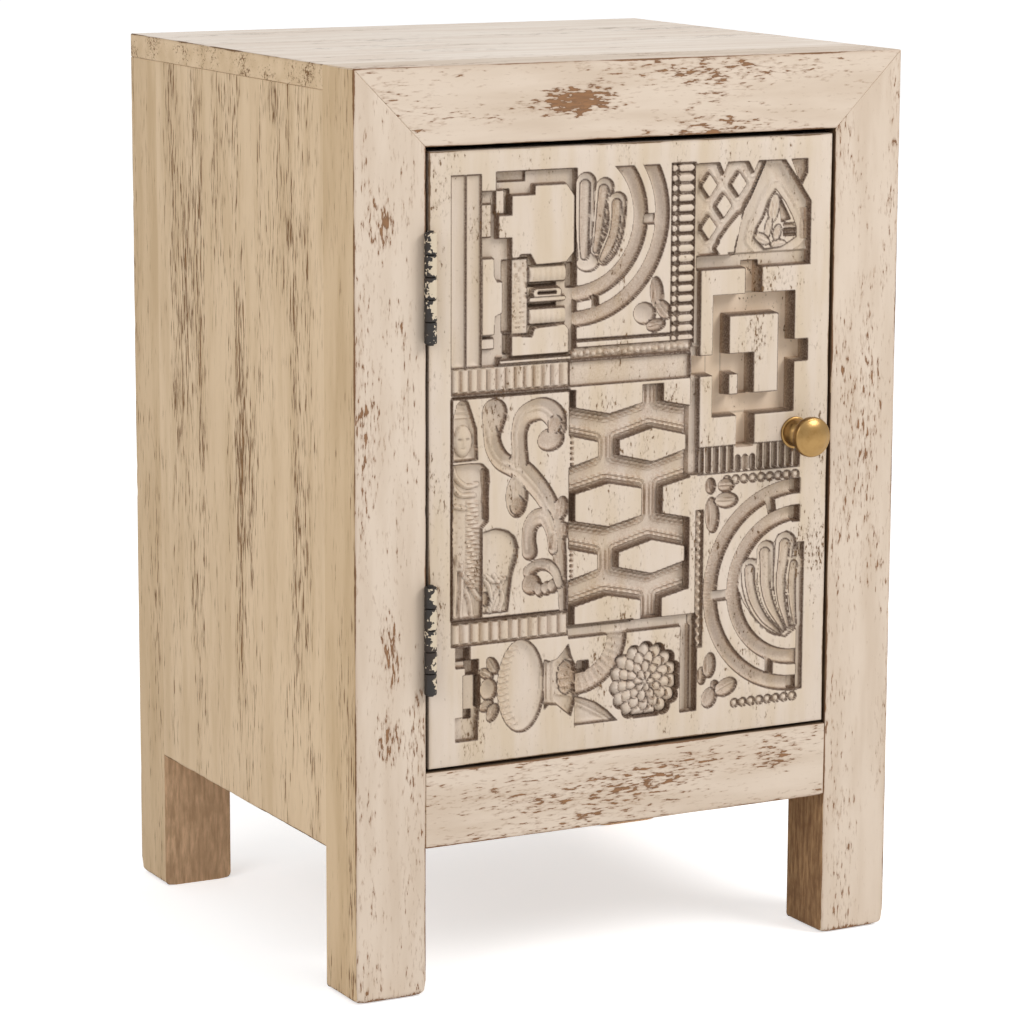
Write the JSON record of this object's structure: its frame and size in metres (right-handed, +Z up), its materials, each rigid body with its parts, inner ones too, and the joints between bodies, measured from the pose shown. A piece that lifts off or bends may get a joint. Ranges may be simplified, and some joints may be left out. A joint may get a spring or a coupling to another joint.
{
  "type": "carved nightstand",
  "caption": "Cream painted wooden nightstand on four legs, with a mitred front frame and a carved door that swings on butt hinges and has a brass knob.",
  "frame": {"origin": "on the floor, under the middle of the bounding box with the door shut", "axes": "+Z up, -Y out of the door's face, +X to the right seen from the front"},
  "size_m": [0.4, 0.382, 0.598],
  "materials": {
    "cream_paint": "cream paint worn through to brown wood along edges and grain",
    "bare_wood": "unpainted brown wood",
    "aged_iron": "worn black iron with remains of paint",
    "brass": "lightly tarnished turned brass",
    "catch_plastic": "matte brown",
    "strike_steel": "plain steel"
  },
  "bodies": {
    "carcass": {"front_left_post": "cream_paint", "front_right_post": "cream_paint", "back_left_post": "cream_paint", "back_right_post": "cream_paint", "front_top_rail": "cream_paint", "front_bottom_rail": "cream_paint", "back_top_rail": "cream_paint", "back_bottom_rail": "cream_paint", "left_side_panel": "cream_paint", "right_side_panel": "cream_paint", "top_board": "cream_paint", "back_panel": "bare_wood", "floor_board": "bare_wood", "left_floor_cleat": "bare_wood", "right_floor_cleat": "bare_wood", "left_top_cleat": "bare_wood", "right_top_cleat": "bare_wood", "mitre_splines": "bare_wood", "hinge_frame_leaves": "aged_iron", "hinge_pins": "aged_iron", "catch_body": "catch_plastic"},
    "door": {"door_slab": "cream_paint", "hinge_door_leaves": "aged_iron", "knob": "brass", "catch_strike": "strike_steel"}
  },
  "joints": [
    {"name": "door_hinge", "type": "hinge", "parent": "carcass", "child": "door", "pos_m": [-0.149, -0.1683, 0.348], "axis": [0, 0, -1], "range_deg": [0, 170]}
  ]
}
